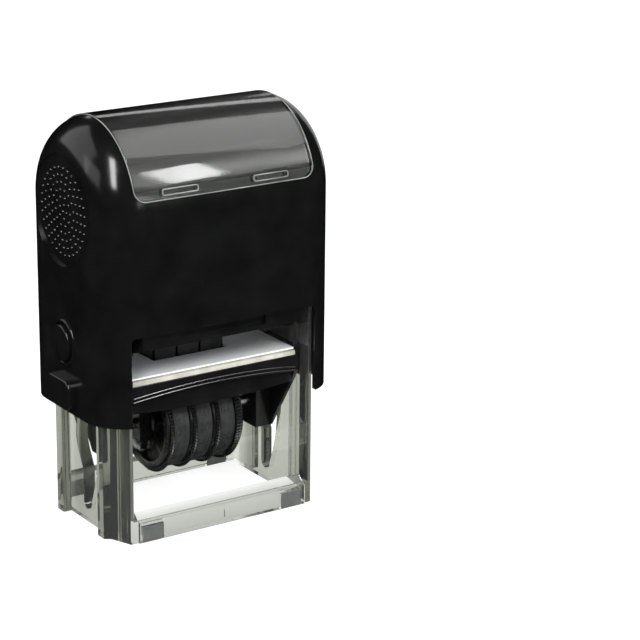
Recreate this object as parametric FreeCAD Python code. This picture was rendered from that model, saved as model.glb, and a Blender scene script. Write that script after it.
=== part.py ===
import FreeCAD, Part
import math
import os

os.makedirs("parts", exist_ok=True)
V = FreeCAD.Vector

# Self-inking rotary date stamp.  Millimetres, Z up, X along the long side.
# The origin is the middle of the footprint, on the surface the stamp stands on.
# Front is -Y.  The casing stands at the top of its stroke, as the spring leaves it.

# ---------------------------------------------------------------- driving sizes
# casing
case_half_w = 36.6        # half the long side
case_half_d = 23.05       # half the short side, also the radius of the domed top
case_top = 112.9
case_corner = 12.0        # upright corners, carried on round the dome
case_wall = 1.5
case_skirt = 5.4          # casing below the flip axis
window_jamb = 8.1         # casing left beside the front and back openings
window_corner = 1.5
edge_round = 0.35         # moulded edges of the casing's openings
edge_zone = 5.0           # depth behind the front face in which those edges lie
grip_r = 15.0             # flat finger recess on each side
grip_depth = 0.7
grip_drop = 1.35          # its centre below the dome's axis

# clear base
guide_gap = 2.35          # casing to the guide ribs
post_out = 2.35           # how far the guide ribs stand out of the wall
post_w = 3.5
flange_gap = 0.38         # casing to the front and back bars
flange_set_back = 0.77    # turned-in flange behind the bar's face
flange_len = 7.4          # from a guide rib to the flange's end
wall_thick = 3.5
bar_depth = 3.17
bar_face_h = 5.8          # upright part of the bar's face
bar_top = 8.2
bar_end = 0.6             # bar's face ends this far inside the walls
clear_round = 0.3         # moulded edges of the clear base
foot_proud = 0.2          # how far the rubber feet stand below the clear base
foot_w = 6.6
foot_h = 4.6
foot_d = 1.3
foot_inset = 0.9          # clear wall in front of a foot

# flip
pivot_z = 39.0            # flip axis at rest
pivot_r = 2.0
follower_off = 4.2        # follower pins, above and below the flip axis
follower_r = 1.45
pivot_slot_gap = 0.2      # pivot pin to the straight slot
follower_gap = 0.25       # follower pins to the cam slot
bearing_gap = 0.05        # running fit of pins in their bearings

# printing head
head_gap = 0.4            # head to the clear walls
plate_rise = 5.8          # top of the text plate above the flip axis
plate_thick = 0.45
strip_thick = 1.45          # edging strip under the text plate
strip_groove = 0.25        # groove left between the plate and the strip
strip_set_back = 0.15      # strip's face behind the rails' face
deck_thick = 1.4
print_rise = 3.9          # printing face of the bands above the text plate
rail_gap = 1.0            # head's rails to the bars of the base
rail_thick = 1.7
rail_ledge = 0.9          # text plate's edge to the rails' face
rail_drop = 0.7           # ends of the rails reach this far below the flip axis
rail_arch = 1.4           # the rails' lower edge rises this much in the middle
head_round = 0.3          # moulded edges of the head
skirt_drop = 4.1
skirt_set_back = 1.6
skirt_bow = 1.3            # the skirt's lower edge hangs this much lower in the middle
skirt_wall = 1.1
web_thick = 1.0
post_thick = 4.6
post_half_y = 4.1
bracket_drop = 20.5
shoulder_drop = 3.5       # the bracket starts to taper here, below the flip axis
shoulder_set_back = 1.6

# date wheels and bands
wheel_r = 14.3            # finger rim
wheel_headroom = 1.5      # rim to the underside of the deck
rim_stand = 0.98          # rim stands proud of the band
wheel_pitch = 7.2
wheel_count = 3
wheel_offset = -1.05      # middle of the wheels, off the middle of the head
wheel_gap = 0.2           # between neighbouring wheels
rim_w = 1.9
axle_r = 1.5
band_thick = 0.8
band_gap = 0.12           # a wheel's drum to the band round it
band_side_gap = 0.25
bridge_half_d = 3.9
bridge_gap = 0.1          # bridge to the belts over it
belt_neck = 0.5           # belts spread to the drums from just below the deck
belt_corner = 0.7
opening_margin = 2.0      # band opening in the plate, beyond the bridge

# ink cartridge and its carrier
pad_gap = 0.4             # bands to the ink pad
pad_thick = 5.0
pad_proud = 2.9           # pad below its tray
tray_h = 5.8
tray_lip_h = 4.2
tray_wall = 2.1
tray_end_wall = 0.8
lip_gap = 0.65            # finger lip to the casing's front wall
finger_half_w = 13.4      # finger recess in the lip
finger_depth = 1.2
finger_ledge = 1.3
slide_gap = 0.3
runner_w = 2.0
runner_lip = 1.3          # ledge that carries the tray
deck_plate = 2.2

# lock buttons and pivot covers
button_rise = 13.7        # above the flip axis
button_r = 5.0
button_proud = 1.45
button_travel = 1.5
button_gap = 0.15
button_flange = 0.8
nose_r = 3.2
nose_gap = 0.5            # nose to the clear wall, button out
well_r = 6.3
well_depth = 0.5
cover_half_y = 6.75
cover_drop = 3.8          # cover below the flip axis
cover_h = 8.3
cover_proud = 2.5
cover_corner = 3.0
cover_round = 0.8

# return spring and index window
spring_r = 7.0
spring_wire = 1.2
spring_cup_h = 4.0
index_jamb = 9.2          # casing left beside the clear window
index_rise = 4.15         # window's lower edge above the dome's axis
index_thick = 1.0
index_gap = 0.15
index_corner = 3.5

# ---------------------------------------------------------------- derived sizes
# across the long side, from the casing inwards
inner_half_w = case_half_w - case_wall
window_half_w = case_half_w - window_jamb
index_half_w = case_half_w - index_jamb
post_outer = inner_half_w - guide_gap
wall_outer = post_outer - post_out
wall_inner = wall_outer - wall_thick
bar_half_w = wall_inner - bar_end
cheek_outer = wall_inner - head_gap
cheek_inner = cheek_outer - web_thick
plate_half_w = cheek_inner
post_x = cheek_inner - post_thick
runner_in = wall_inner - runner_w
tray_half_w = runner_in - slide_gap
pad_half_w = tray_half_w - tray_wall
pin_end = case_half_w + cover_proud - 0.9

# across the short side
inner_half_d = case_half_d - case_wall
bar_half_d = inner_half_d - flange_gap
flange_y = bar_half_d - flange_set_back
post_y1 = flange_y - flange_len
post_y0 = post_y1 - post_w
bar_inner = bar_half_d - bar_depth
rail_half_d = bar_inner - rail_gap
plate_half_d = rail_half_d - rail_ledge
skirt_y = rail_half_d - skirt_set_back
bracket_shoulder_y = rail_half_d - shoulder_set_back
tray_front = inner_half_d - lip_gap
tray_back = rail_half_d - 0.6
pad_half_d = tray_back - tray_end_wall

# upwards
case_bottom = pivot_z - case_skirt
dome_z = case_top - case_half_d
grip_z = dome_z - grip_drop
plate_top = pivot_z + plate_rise
plate_low = plate_top - plate_thick
deck_high = plate_low - strip_thick
deck_low = deck_high - deck_thick
print_z = plate_top + print_rise
stroke = 2 * pivot_z - print_z            # brings the turned-over bands down to the paper
drop_per_radian = stroke / math.pi
rail_bottom = pivot_z - rail_drop
skirt_bottom = pivot_z - skirt_drop
bracket_bottom = pivot_z - bracket_drop
bracket_shoulder_z = pivot_z - shoulder_drop
pad_bottom = print_z + pad_gap
tray_bottom = pad_bottom + pad_proud
tray_top = tray_bottom + tray_h
tray_lip_bottom = tray_top - tray_lip_h
window_top = tray_top + slide_gap
deck_z = tray_top + slide_gap
deck_top = deck_z + deck_plate
wall_top = deck_top + 0.7
flange_top = tray_top - 0.3
button_z = pivot_z + button_rise
seat_r = case_half_d - index_thick - index_gap
dome_inside = dome_z + seat_r - case_wall

# wheels
wheel_z = deck_low - wheel_headroom - wheel_r
drum_r = wheel_r - rim_stand - band_thick - band_gap
first_rim_x = wheel_offset - wheel_pitch * wheel_count / 2
bridge_half_w = wheel_pitch * wheel_count / 2 + rim_w / 2 - 0.35
belt_neck_z = deck_low - belt_neck
hanger_x1 = first_rim_x - rim_w / 2 - 0.4
hanger_x0 = hanger_x1 - 3.0


# ---------------------------------------------------------------- shape helpers
def box(x0, x1, y0, y1, z0, z1):
    return Part.makeBox(x1 - x0, y1 - y0, z1 - z0, V(x0, y0, z0))


def rod_x(radius, x0, x1, y, z):
    low = min(x0, x1)
    return Part.makeCylinder(radius, abs(x1 - x0), V(low, y, z), V(1, 0, 0))


def rod_z(radius, z0, z1, x=0.0, y=0.0):
    return Part.makeCylinder(radius, z1 - z0, V(x, y, z0), V(0, 0, 1))


def prism_z(points, z0, z1):
    ring = [V(x, y, z0) for x, y in points]
    return Part.Face(Part.makePolygon(ring + ring[:1])).extrude(V(0, 0, z1 - z0))


def prism_x(points, x0, x1):
    ring = [V(x0, y, z) for y, z in points]
    return Part.Face(Part.makePolygon(ring + ring[:1])).extrude(V(x1 - x0, 0, 0))


def join(*shapes):
    whole = shapes[0]
    for shape in shapes[1:]:
        whole = whole.fuse(shape)
    return whole.removeSplitter()


def mirror_x(shape):
    return shape.mirror(V(0, 0, 0), V(1, 0, 0))


def mirror_y(shape):
    return shape.mirror(V(0, 0, 0), V(0, 1, 0))


def rounded_block(x0, x1, y0, y1, z0, z1, corner, along):
    """Block whose four edges that run along one axis are rounded."""
    block = box(x0, x1, y0, y1, z0, z1)
    edges = []
    for edge in block.Edges:
        run = edge.Vertexes[1].Point - edge.Vertexes[0].Point
        if abs(run.normalize().dot(along)) > 0.99:
            edges.append(edge)
    return block.makeFillet(corner, edges)


def round_edges(shape, radius, wanted):
    """Rounds every edge for which wanted(edge) is true."""
    return shape.makeFillet(radius, [edge for edge in shape.Edges if wanted(edge)])


def runs_along(edge, direction):
    """True for a straight edge along one axis."""
    if len(edge.Vertexes) != 2 or not isinstance(edge.Curve, Part.Line):
        return False
    return abs(edge.Curve.Direction.dot(direction)) > 0.999


def save(name, shape):
    solids = shape.Solids
    if len(solids) == 1:
        shape = solids[0]
    print(name, "solids", len(solids), "volume", round(shape.Volume, 1), "valid", shape.isValid())
    shape.exportStep("parts/" + name + ".step")


# ---------------------------------------------------------------- casing
def end_profile(half_w, half_d, corner):
    """Half of the plan: straight sides, round corners, closed along Y = 0."""
    slope = corner * math.sqrt(0.5)
    flat_w = half_w - corner
    flat_d = half_d - corner

    def at(x, y):
        return V(x, y, dome_z)

    edges = [
        Part.LineSegment(at(-half_w, 0), at(-half_w, flat_d)),
        Part.Arc(at(-half_w, flat_d), at(-flat_w - slope, flat_d + slope), at(-flat_w, half_d)),
        Part.LineSegment(at(-flat_w, half_d), at(flat_w, half_d)),
        Part.Arc(at(flat_w, half_d), at(flat_w + slope, flat_d + slope), at(half_w, flat_d)),
        Part.LineSegment(at(half_w, flat_d), at(half_w, 0)),
        Part.LineSegment(at(half_w, 0), at(-half_w, 0)),
    ]
    return Part.Face(Part.Wire([edge.toShape() for edge in edges]))


def domed_body(half_w, half_d, corner, bottom):
    """The rounded plan carried straight up, then round the half-cylinder top."""
    profile = end_profile(half_w, half_d, corner)
    dome = profile.revolve(V(0, 0, dome_z), V(1, 0, 0), 180)
    front = mirror_y(profile).extrude(V(0, 0, bottom - dome_z))
    back = profile.extrude(V(0, 0, bottom - dome_z))
    return join(front, back, dome)


def dome_sector(half_w, r_in, r_out, end_angle):
    """Piece of the dome's skin, between the same angle at the front and at the back."""
    start = math.radians(end_angle)
    ring = [V(-half_w, r * math.cos(start), dome_z + r * math.sin(start)) for r in (r_in, r_out)]
    ring += [V(half_w, point.y, point.z) for point in reversed(ring)]
    face = Part.Face(Part.makePolygon(ring + ring[:1]))
    return face.revolve(V(0, 0, dome_z), V(1, 0, 0), 180 - 2 * end_angle)


def index_skin(margin, r_in, r_out):
    """Skin of the dome under the index window, with rounded corners at the front and back."""
    rise = index_rise - margin
    half_w = index_half_w + margin
    skin = dome_sector(half_w, r_in, r_out, math.degrees(math.asin(rise / case_half_d)))
    edge = 2 * case_half_d
    outline = rounded_block(-half_w, half_w, -edge, edge, dome_z + rise, dome_z + edge,
                            index_corner + margin, V(0, 1, 0))
    return skin.common(outline)


def make_casing():
    outer = domed_body(case_half_w, case_half_d, case_corner, case_bottom)
    inner = domed_body(inner_half_w, inner_half_d, case_corner - case_wall, case_bottom - 1)
    seat = dome_sector(index_half_w + 1.5, seat_r - case_wall, inner_half_d + 0.4, 3.0)
    boss_top = dome_inside + 0.2
    boss = rod_z(spring_r - spring_wire - slide_gap, boss_top - 16, boss_top)
    shell = join(outer.cut(inner), seat, boss)
    shell = shell.cut(index_skin(index_gap, seat_r, case_half_d + 2))
    opening = rounded_block(-window_half_w, window_half_w, -case_half_d - 2, case_half_d + 2,
                            case_bottom - 10, window_top, window_corner, V(0, 1, 0))
    shell = shell.cut(opening)
    for side in (-1, 1):
        face = side * case_half_w
        grip = rod_x(grip_r, face - side * grip_depth, face, 0, grip_z)
        well = rod_x(well_r, face - side * well_depth, face, 0, button_z)
        bore = rod_x(button_r + button_gap, 0, face, 0, button_z)
        bearing = rod_x(pivot_r + bearing_gap, 0, face, 0, pivot_z)
        shell = shell.cut(grip).cut(well).cut(bore).cut(bearing)

    def at_opening(edge):
        """Edges round the front and back openings, outside and inside the wall."""
        span = edge.BoundBox
        low_enough = span.ZMin > case_bottom - 0.01 and span.ZMax < window_top + 0.01
        wide_enough = abs(edge.CenterOfMass.x) < window_half_w + 0.01
        return low_enough and wide_enough and abs(edge.CenterOfMass.y) > inner_half_d - edge_zone

    return round_edges(shell, edge_round, at_opening)


def make_index_window():
    return index_skin(0.0, case_half_d - index_thick, case_half_d)


def make_pivot_cover():
    face = case_half_w + cover_proud
    low = pivot_z - cover_drop
    cover = rounded_block(case_half_w, face, -cover_half_y, cover_half_y, low, low + cover_h,
                          cover_corner, V(1, 0, 0))
    bearing = rod_x(pivot_r + bearing_gap, case_half_w - 1, pin_end + slide_gap, 0, pivot_z)
    cover = round_edges(cover, cover_round, lambda edge: edge.BoundBox.XMin > face - 0.01)
    return cover.cut(bearing)


def make_return_spring():
    """Outline of the coil, as a plain sleeve between the carrier and the dome."""
    sagitta = seat_r - case_wall - math.sqrt((seat_r - case_wall) ** 2 - spring_r ** 2)
    outer = rod_z(spring_r, deck_top, dome_inside - sagitta - 0.15)
    return outer.cut(rod_z(spring_r - spring_wire, deck_top - 1, dome_inside))


def make_lock_button():
    flange_x = inner_half_w - 0.2
    cap = rod_x(button_r, flange_x - 0.8, case_half_w + button_proud, 0, button_z)
    rim = [edge for edge in cap.Edges if edge.BoundBox.XMin > case_half_w]
    cap = cap.makeFillet(0.6, rim)
    flange = rod_x(button_r + button_flange, flange_x - 0.8, flange_x, 0, button_z)
    nose = rod_x(nose_r, wall_outer + nose_gap, flange_x, 0, button_z)
    return join(cap, flange, nose)


# ---------------------------------------------------------------- clear base
def follower_edge(sign):
    """Outer edge of the cam slot on one side: the pin's path, set off by its clearance.

    sign +1 is the lower pin, which swings to the back, -1 the upper one.
    """
    reach = follower_r + follower_gap
    points = []
    for step in range(25):
        turn = math.pi * step / 24
        axis = pivot_z - drop_per_radian * turn
        y = sign * follower_off * math.sin(turn)
        z = axis - sign * follower_off * math.cos(turn)
        run_y = sign * follower_off * math.cos(turn)
        run_z = -drop_per_radian + sign * follower_off * math.sin(turn)
        length = math.hypot(run_y, run_z)
        points.append((y - sign * reach * run_z / length, z + sign * reach * run_y / length))
    return points


def cam_slot(x0, x1):
    """Straight slot for the pivot pin, widened where the two follower pins pass."""
    half = pivot_r + pivot_slot_gap
    low = pivot_z - stroke - follower_off - follower_r - follower_gap + half
    high = pivot_z + follower_off + follower_r + follower_gap - half
    slot = join(box(x0, x1, -half, half, low, high), rod_x(half, x0, x1, 0, low),
                rod_x(half, x0, x1, 0, high))
    for sign in (1, -1):
        points = [V(x0, y, z) for y, z in follower_edge(sign)]
        curve = Part.BSplineCurve()
        curve.interpolate(points)
        first = V(x0, 0, points[0].z)
        last = V(x0, 0, points[-1].z)
        wire = Part.Wire([Part.makeLine(first, points[0]), curve.toShape(),
                          Part.makeLine(points[-1], last), Part.makeLine(last, first)])
        slot = slot.fuse(Part.Face(wire).extrude(V(x1 - x0, 0, 0)))
    return slot


def side_plan(flange):
    """Plan of the right side: wall, guide ribs and, lower down, the turned-in flanges."""
    half = [(wall_outer, 0), (wall_outer, post_y0), (post_outer, post_y0), (post_outer, post_y1),
            (wall_outer + 0.7, post_y1 + 1.1)]
    if flange:
        half += [(wall_outer - 1.3, flange_y - 1.4), (wall_outer - 1.8, flange_y),
                 (wall_inner + 0.7, flange_y), (wall_inner + 0.7, post_y1 + 1.6)]
    half += [(wall_inner, post_y1 + 0.9)]
    return half + [(x, -y) for x, y in reversed(half) if y > 0]


def bar_profile():
    """Section of the front bar: upright face, small ledge, then a slope to its inner edge."""
    return [(-bar_half_d, foot_proud), (-bar_half_d, bar_face_h),
            (-bar_half_d + 0.8, bar_face_h + 0.6), (-bar_half_d + 1.3, bar_face_h + 0.6),
            (-bar_inner, bar_top), (-bar_inner, foot_proud)]


def foot_box(side, end, grow=0.0):
    """Place of a foot: side -1 or 1 along X, end -1 or 1 along Y."""
    x0 = bar_half_w - 1.0 - foot_w
    y0 = bar_half_d - foot_inset - foot_d
    xs = sorted((side * x0, side * (x0 + foot_w)))
    ys = sorted((end * y0, end * (y0 + foot_d)))
    return box(xs[0], xs[1], ys[0], ys[1], -grow, foot_h)


def on_outside_of_base(edge):
    """Upright edges of the guide ribs and flanges, and the long edges of the bars' faces."""
    middle = edge.CenterOfMass
    if runs_along(edge, V(0, 0, 1)):
        return abs(middle.y) > post_y0 - 0.1 and abs(middle.x) > wall_inner + 0.5 and edge.Length > 20
    return runs_along(edge, V(1, 0, 0)) and abs(middle.y) > bar_half_d - 0.1 and middle.z < bar_face_h + 0.1


def make_clear_base():
    right = join(prism_z(side_plan(False), foot_proud, wall_top),
                 prism_z(side_plan(True), foot_proud, flange_top))
    right = right.cut(cam_slot(wall_inner - 1, post_outer + 1))
    pocket_depth = button_travel - nose_gap + 0.6
    pocket = rod_x(nose_r + 0.4, wall_outer - pocket_depth, post_outer + 1, 0, button_z)
    right = right.cut(pocket)
    face_bar = prism_x(bar_profile(), -bar_half_w, bar_half_w)
    long_bar = box(-wall_inner - 0.8, wall_inner + 0.8, -flange_y, -bar_inner, foot_proud,
                   bar_face_h + 0.6)
    bars = join(face_bar, long_bar)
    base = join(right, mirror_x(right), bars, mirror_y(bars))
    base = round_edges(base, clear_round, on_outside_of_base)
    for side in (-1, 1):
        for end in (-1, 1):
            base = base.cut(foot_box(side, end, 1.0))
    return base


# ---------------------------------------------------------------- pad carrier and cartridge
def make_pad_carrier():
    """Deck across the top of the clear walls, with a runner down each side for the tray."""
    carrier_half_d = post_y1 + 1.0
    ledge_low = tray_bottom - 1.6
    deck = box(-wall_inner, wall_inner, -carrier_half_d, carrier_half_d, deck_z, deck_top)
    cup = rod_z(spring_r + slide_gap + 1.4, deck_top - 0.5, deck_top + spring_cup_h)
    cup = cup.cut(rod_z(spring_r + slide_gap, deck_top, deck_top + spring_cup_h + 1))
    runners = []
    for side in (-1, 1):
        xs = sorted((side * runner_in, side * wall_inner))
        runners.append(box(xs[0], xs[1], -carrier_half_d, tray_back + 0.6, ledge_low, deck_top))
        ledge = sorted((side * (runner_in - runner_lip), side * wall_inner))
        runners.append(box(ledge[0], ledge[1], -carrier_half_d, tray_back + 0.6, ledge_low,
                           tray_bottom - slide_gap))
    return join(deck, cup, *runners)


def make_ink_tray():
    """Open-bottomed tray with a finger lip at the front that closes the window's top."""
    body = box(-tray_half_w, tray_half_w, -tray_back, tray_back, tray_bottom, tray_top)
    lip = box(-tray_half_w, tray_half_w, -tray_front, -tray_back, tray_lip_bottom, tray_top)
    pocket = box(-pad_half_w, pad_half_w, -pad_half_d, pad_half_d, tray_bottom - 1,
                 pad_bottom + pad_thick)
    finger = box(-finger_half_w, finger_half_w, -tray_front - 1, -tray_front + finger_depth,
                 tray_lip_bottom + finger_ledge, tray_top + 1)
    return join(body, lip).cut(pocket).cut(finger)


def make_ink_pad():
    return box(-pad_half_w, pad_half_w, -pad_half_d, pad_half_d, pad_bottom, pad_bottom + pad_thick)


# ---------------------------------------------------------------- printing head
def band_opening(margin, z0, z1):
    half_w = bridge_half_w + 0.3 + margin
    half_d = bridge_half_d + opening_margin + margin
    return box(wheel_offset - half_w, wheel_offset + half_w, -half_d, half_d, z0, z1)


def make_text_plate():
    plate = box(-plate_half_w, plate_half_w, -plate_half_d, plate_half_d, plate_low, plate_top)
    return plate.cut(band_opening(0, plate_top - 5, plate_top + 5))


def make_edge_strip():
    """Strip under the text plate, with a groove below the plate's edge."""
    half_d = rail_half_d - strip_set_back
    top = plate_low - strip_groove
    strip = box(-plate_half_w, plate_half_w, -half_d, half_d, deck_high, top)
    strip = round_edges(strip, head_round, lambda edge: runs_along(edge, V(1, 0, 0))
                        and edge.CenterOfMass.z > top - 0.01)
    step = box(-plate_half_w + strip_groove, plate_half_w - strip_groove,
               -plate_half_d + strip_groove, plate_half_d - strip_groove, deck_high, plate_low)
    return join(strip, step).cut(band_opening(0, deck_high - 5, plate_low + 5))


def make_head_frame():
    """Four rails, the deck under the text plate and the skirt that hangs below."""
    ring = box(-cheek_inner, cheek_inner, -rail_half_d, rail_half_d, rail_bottom, deck_high)
    arch_r = (cheek_inner ** 2 + rail_arch ** 2) / (2 * rail_arch)
    arch = Part.makeCylinder(arch_r, 4 * rail_half_d,
                             V(0, -2 * rail_half_d, rail_bottom + rail_arch - arch_r), V(0, 1, 0))
    hollow = box(-cheek_inner + 0.9, cheek_inner - 0.9, -rail_half_d + rail_thick,
                 rail_half_d - rail_thick, rail_bottom - 1, deck_high + 1)
    deck = box(-cheek_inner, cheek_inner, -rail_half_d + 0.5, rail_half_d - 0.5, deck_low,
               deck_high)
    skirt = box(-cheek_inner, cheek_inner, -skirt_y, skirt_y, skirt_bottom - skirt_bow, deck_low)
    skirt = skirt.cut(box(-cheek_inner + skirt_wall, cheek_inner - skirt_wall, -skirt_y + skirt_wall,
                          skirt_y - skirt_wall, skirt_bottom - skirt_bow - 1, deck_low + 1))
    bow_r = (cheek_inner ** 2 + skirt_bow ** 2) / (2 * skirt_bow)
    skirt = skirt.common(Part.makeCylinder(bow_r, 4 * skirt_y,
                                           V(0, -2 * skirt_y, skirt_bottom - skirt_bow + bow_r),
                                           V(0, 1, 0)))
    frame = join(ring.cut(hollow).cut(arch), deck, skirt)
    frame = round_edges(frame, head_round, lambda edge: abs(edge.CenterOfMass.y) > rail_half_d - 0.01
                        and edge.BoundBox.XLength > cheek_inner)
    frame = frame.cut(rod_x(pivot_r, -cheek_outer, cheek_outer, 0, pivot_z))
    return frame.cut(band_opening(0.6, deck_high - 5, deck_high + 5))


def make_head_bracket():
    """Right bracket: tapering web against the clear wall, a post, and two follower pins."""
    foot_y = post_half_y + 0.1
    web = prism_x([(-rail_half_d, rail_bottom), (-rail_half_d, plate_low + 0.1),
                   (rail_half_d, plate_low + 0.1), (rail_half_d, rail_bottom),
                   (bracket_shoulder_y, bracket_shoulder_z), (foot_y, bracket_bottom),
                   (-foot_y, bracket_bottom), (-bracket_shoulder_y, bracket_shoulder_z)],
                  cheek_inner, cheek_outer)
    post = box(post_x, cheek_inner, -post_half_y, post_half_y, bracket_bottom, deck_low)
    pins = [rod_x(follower_r, cheek_inner, wall_outer - 0.3, 0, pivot_z + sign * follower_off)
            for sign in (-1, 1)]
    end_sag = skirt_bow * (1 - ((cheek_inner - skirt_wall) / cheek_inner) ** 2)
    post = post.cut(box(cheek_inner - skirt_wall, cheek_inner, -rail_half_d, rail_half_d,
                        skirt_bottom - end_sag - strip_set_back, plate_top))
    pivot_hole = rod_x(pivot_r, post_x - 1, cheek_outer + 1, 0, pivot_z)
    axle_hole = rod_x(axle_r, post_x - 1, cheek_outer + 1, 0, wheel_z)
    bracket = join(web, post, *pins).cut(pivot_hole).cut(axle_hole)
    upright = [edge for edge in bracket.Edges if runs_along(edge, V(0, 0, 1))
               and abs(edge.CenterOfMass.x - post_x) < 0.01]
    return bracket.makeFillet(head_round, upright)


def make_pivot_pin():
    return rod_x(pivot_r, post_x, pin_end, 0, pivot_z)


def make_wheel_axle():
    return rod_x(axle_r, -cheek_outer + 0.2, cheek_outer - 0.2, 0, wheel_z)


def belt_outline(grow):
    """Belt path at a distance from the drum: drum arc, straight flanks, flat printing run."""
    radius = drum_r + band_gap + grow
    half = bridge_half_d + grow
    top = print_z - band_thick + grow
    away = math.hypot(half, belt_neck_z - wheel_z)
    lean = math.atan2(belt_neck_z - wheel_z, half) - math.acos(radius / away)
    touch = V(0, radius * math.cos(lean), wheel_z + radius * math.sin(lean))
    corner = belt_corner + grow
    slope = corner * (1 - math.sqrt(0.5))
    edges = [
        Part.Arc(touch, V(0, 0, wheel_z - radius), V(0, -touch.y, touch.z)).toShape(),
        Part.makeLine(V(0, -touch.y, touch.z), V(0, -half, belt_neck_z)),
        Part.makeLine(V(0, -half, belt_neck_z), V(0, -half, top - corner)),
        Part.Arc(V(0, -half, top - corner), V(0, -half + slope, top - slope),
                 V(0, -half + corner, top)).toShape(),
        Part.makeLine(V(0, -half + corner, top), V(0, half - corner, top)),
        Part.Arc(V(0, half - corner, top), V(0, half - slope, top - slope),
                 V(0, half, top - corner)).toShape(),
        Part.makeLine(V(0, half, top - corner), V(0, half, belt_neck_z)),
        Part.makeLine(V(0, half, belt_neck_z), touch),
    ]
    return Part.Face(Part.Wire(edges))


def make_band(index):
    x0 = first_rim_x + wheel_pitch * index + rim_w / 2 + band_side_gap
    width = wheel_pitch - rim_w - 2 * band_side_gap
    outer = belt_outline(band_thick).extrude(V(width, 0, 0))
    inner = belt_outline(0).extrude(V(width, 0, 0))
    band = outer.cut(inner)
    band.translate(V(x0, 0, 0))
    return band


def make_bridge():
    """Block that the bands run over, standing on the deck's underside beside the wheels."""
    half = bridge_half_d - bridge_gap
    top = print_z - band_thick - bridge_gap
    return rounded_block(wheel_offset - bridge_half_w, wheel_offset + bridge_half_w, -half, half,
                         belt_neck_z - 0.6, top, belt_corner - bridge_gap, V(1, 0, 0))


def make_wheel(index):
    """Finger rim, drum and hub.  The last wheel has a second rim on its right."""
    x0 = first_rim_x + wheel_pitch * index - rim_w / 2
    x1 = x0 + wheel_pitch - wheel_gap
    last = index == wheel_count - 1
    if last:
        x1 = x0 + wheel_pitch + rim_w
    wheel = join(rod_x(wheel_r, x0, x0 + rim_w, 0, wheel_z), rod_x(drum_r, x0, x1, 0, wheel_z))
    if last:
        wheel = join(wheel, rod_x(wheel_r, x1 - rim_w, x1, 0, wheel_z))
    return wheel.cut(rod_x(axle_r + bearing_gap, x0 - 1, x1 + 1, 0, wheel_z))


def make_hanger():
    """Arm from the deck to the axle, beside the first wheel."""
    arm = box(hanger_x0, hanger_x1, -post_half_y, post_half_y, bracket_bottom + 3.2, deck_low)
    return arm.cut(rod_x(axle_r, hanger_x0 - 1, hanger_x1 + 1, 0, wheel_z))


def make_axle_clip():
    """Square metal clip on the end of the arm."""
    return box(hanger_x0 - 0.3, hanger_x1, -post_half_y - 0.3, post_half_y + 0.3,
               bracket_bottom + 0.6, bracket_bottom + 3.2)


# ---------------------------------------------------------------- write every piece
save("clear_base", make_clear_base())
for side, side_name in ((-1, "left"), (1, "right")):
    for end, end_name in ((-1, "front"), (1, "back")):
        save("foot_" + end_name + "_" + side_name, foot_box(side, end))
save("pad_carrier", make_pad_carrier())
save("ink_tray", make_ink_tray())
save("ink_pad", make_ink_pad())
save("casing", make_casing())
save("index_window", make_index_window())
save("return_spring", make_return_spring())
save("head_frame", make_head_frame())
save("text_plate", make_text_plate())
save("plate_strip", make_edge_strip())
save("band_bridge", make_bridge())
save("wheel_axle", make_wheel_axle())
save("axle_hanger", make_hanger())
save("axle_clip", make_axle_clip())
for number in range(wheel_count):
    save("date_wheel_" + str(number + 1), make_wheel(number))
    save("date_band_" + str(number + 1), make_band(number))
paired = (("pivot_cover", make_pivot_cover), ("lock_button", make_lock_button),
          ("head_bracket", make_head_bracket), ("pivot_pin", make_pivot_pin))
for name, make in paired:
    piece = make()
    save(name + "_right", piece)
    save(name + "_left", mirror_x(piece))
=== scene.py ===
# %% [markdown]
# A self-inking date stamp.  A black casing slides on a clear plastic base.  Pushing it down turns
# the printing head over, from the ink pad at the top to the paper below.  The mechanical pieces
# come ready made and placed in the frame; here each one gets its finish, and the pieces whose
# charm is in small detail are modelled again inside the same space.

# %% Load the frame
import math

import bmesh
import bpy
from mathutils import Matrix, Vector


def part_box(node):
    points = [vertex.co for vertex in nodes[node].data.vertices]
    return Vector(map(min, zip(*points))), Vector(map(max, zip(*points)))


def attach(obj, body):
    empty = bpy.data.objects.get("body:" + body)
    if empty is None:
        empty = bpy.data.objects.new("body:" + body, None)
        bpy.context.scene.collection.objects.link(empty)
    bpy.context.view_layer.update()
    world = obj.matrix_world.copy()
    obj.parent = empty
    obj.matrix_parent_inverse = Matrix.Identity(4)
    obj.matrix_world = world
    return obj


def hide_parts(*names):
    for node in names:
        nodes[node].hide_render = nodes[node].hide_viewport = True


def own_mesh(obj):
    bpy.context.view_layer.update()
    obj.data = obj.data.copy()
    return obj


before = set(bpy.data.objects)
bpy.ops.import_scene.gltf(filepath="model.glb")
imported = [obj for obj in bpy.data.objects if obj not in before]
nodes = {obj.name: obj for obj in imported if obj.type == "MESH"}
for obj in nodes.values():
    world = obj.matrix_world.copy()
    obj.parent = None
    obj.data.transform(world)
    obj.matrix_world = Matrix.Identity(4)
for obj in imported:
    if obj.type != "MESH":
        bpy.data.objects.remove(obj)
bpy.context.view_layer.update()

mm = 0.001

# %% [markdown]
# Everything is placed from the frame.  The casing's own box gives the domed top: half its depth is
# the radius of the dome, so the dome's axis lies that far below the top.

# %% Measure the casing
case_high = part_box("casing")[1]
half_w = case_high.x
half_d = case_high.y
dome_r = half_d
dome_z = case_high.z - dome_r
print("dome radius mm", round(dome_r / mm, 2), "axis height mm", round(dome_z / mm, 2))

# %% [markdown]
# Moulded plastic is never one flat value.  It carries a fine spark-eroded grain from the mould, and
# handling leaves it a little shinier in some places than in others.  One function builds all such
# finishes: a slow noise drifts the colour, a second one drifts the roughness, and a fine one lifts
# the surface.  Numbers that are the same all over sit on the shader itself.

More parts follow.
